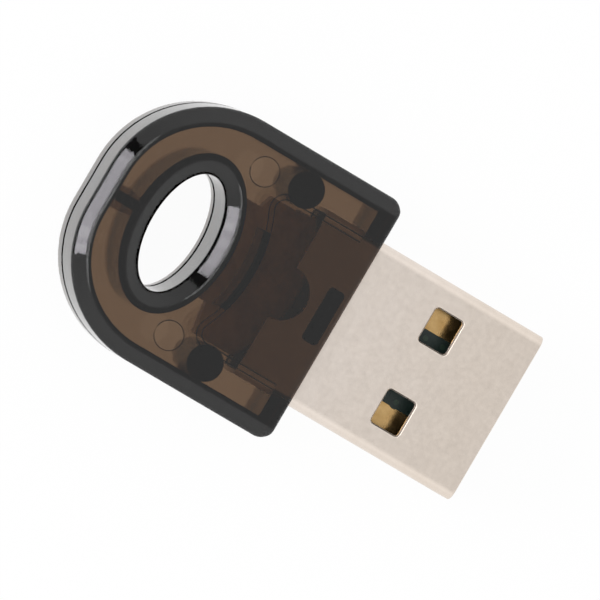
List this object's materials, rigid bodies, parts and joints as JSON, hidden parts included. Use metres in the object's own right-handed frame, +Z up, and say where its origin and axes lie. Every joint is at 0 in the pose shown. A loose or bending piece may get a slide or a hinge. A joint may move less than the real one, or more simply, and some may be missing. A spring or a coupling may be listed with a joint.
{
  "type": "usb bluetooth adapter",
  "caption": "Short USB radio adapter with a see-through smoky D-shaped housing, a bevelled oval keyring hole and a folded sheet plug.",
  "frame": {"origin": "middle of the footprint, on the surface that the adapter lies on", "axes": "+X along the adapter towards the plug's tip, +Z up through the deeper cover"},
  "size_m": [0.0302, 0.0176, 0.0063],
  "materials": {
    "smoky_plastic": "gloss",
    "nickel_plate": "satin",
    "solder_mask": "satin",
    "gold": "polished",
    "carrier_plastic": "matte",
    "solder": "satin",
    "chip_resin": "matte",
    "crystal_metal": "satin",
    "masked_copper": "satin",
    "inductor_ceramic": "satin",
    "capacitor_ceramic": "satin",
    "resistor_ceramic": "satin"
  },
  "bodies": {
    "root": {"upper_cover": "smoky_plastic", "lower_cover": "smoky_plastic", "connector_shell": "nickel_plate", "circuit_board": "solder_mask", "plated_vias": "masked_copper", "vbus_contact": "gold", "data_minus_contact": "gold", "data_plus_contact": "gold", "ground_contact": "gold", "board_carrier": "carrier_plastic", "shell_solder_left": "solder", "shell_solder_right": "solder", "radio_chip": "chip_resin", "crystal_can": "crystal_metal", "antenna_trace": "masked_copper", "matching_inductor": "inductor_ceramic", "matching_capacitor": "capacitor_ceramic", "crystal_capacitor_left": "capacitor_ceramic", "crystal_capacitor_right": "capacitor_ceramic", "supply_capacitor_front": "capacitor_ceramic", "supply_capacitor_rear": "capacitor_ceramic", "bias_resistor": "resistor_ceramic", "data_minus_resistor": "resistor_ceramic", "data_plus_resistor": "resistor_ceramic"}
  },
  "joints": []
}
